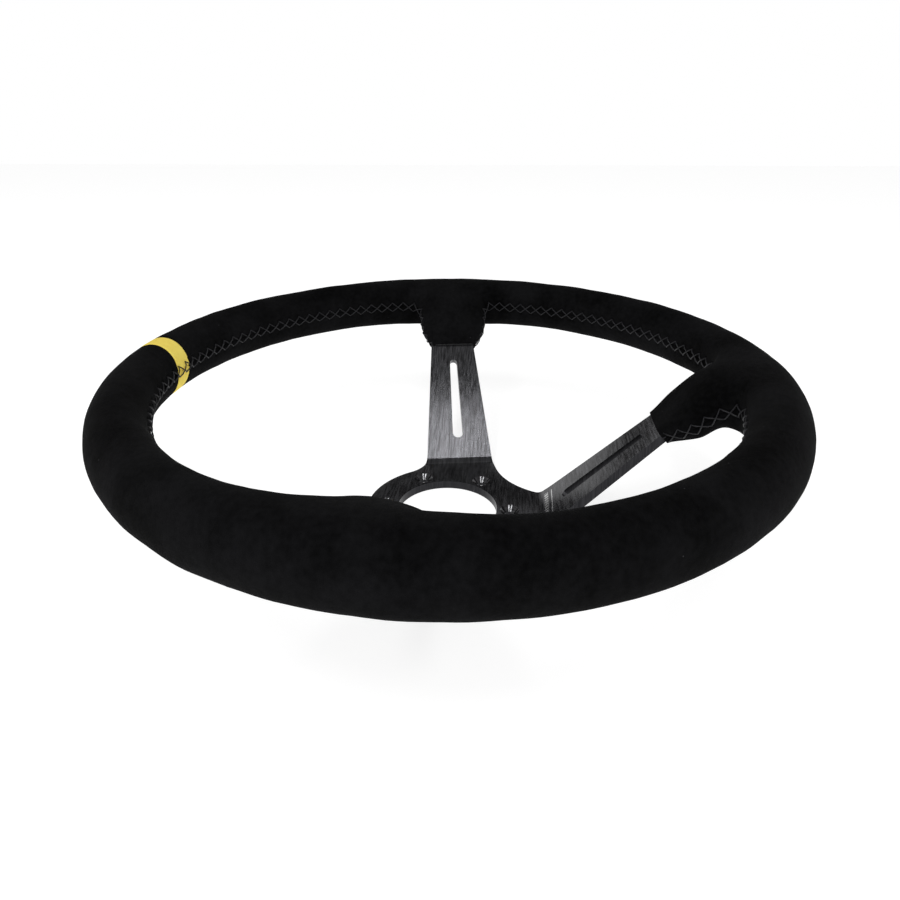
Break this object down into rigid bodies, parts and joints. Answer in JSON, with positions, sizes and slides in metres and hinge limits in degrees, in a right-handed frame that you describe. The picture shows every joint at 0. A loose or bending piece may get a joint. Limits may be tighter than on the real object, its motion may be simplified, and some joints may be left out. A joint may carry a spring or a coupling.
{
  "type": "racing steering wheel",
  "caption": "Deep-dish three-spoke racing steering wheel: black anodised aluminium spoke plate, suede-wrapped foam rim with a yellow centre marker and cross-stitched seam.",
  "frame": {"origin": "Centre of the hub's flat back face, on the wheel's axis.", "axes": "+Z along the wheel's axis from the hub's back towards the driver, +Y from the axis to the yellow centre marker, +X to the driver's right."},
  "size_m": [0.3504, 0.3504, 0.0973],
  "materials": {
    "anodised_plate": "black anodised over a fine straight brushing that runs from side spoke to side spoke",
    "steel": "plain mild steel, hidden inside the rim",
    "foam": "moulded black polyurethane foam, matt skin, hidden under the cover",
    "black_suede": "black suede with a short soft nap, no gloss",
    "yellow_suede": "bright yellow suede, short nap",
    "thread": "black waxed polyester thread with a slight sheen"
  },
  "bodies": {
    "root": {"spoke_plate": "anodised_plate", "rim_hoop": "steel", "hoop_lug_right": "steel", "hoop_lug_left": "steel", "hoop_lug_bottom": "steel", "spoke_rivet_right_a": "steel", "spoke_rivet_right_b": "steel", "spoke_rivet_left_a": "steel", "spoke_rivet_left_b": "steel", "spoke_rivet_bottom_a": "steel", "spoke_rivet_bottom_b": "steel", "foam_core": "foam", "suede_cover": "black_suede", "centre_marker_band": "yellow_suede", "seam_thread_marker_right": "thread", "seam_thread_marker_left": "thread", "stitch_thread_upper": "thread", "stitch_thread_lower_left": "thread", "stitch_thread_lower_right": "thread"}
  },
  "joints": []
}
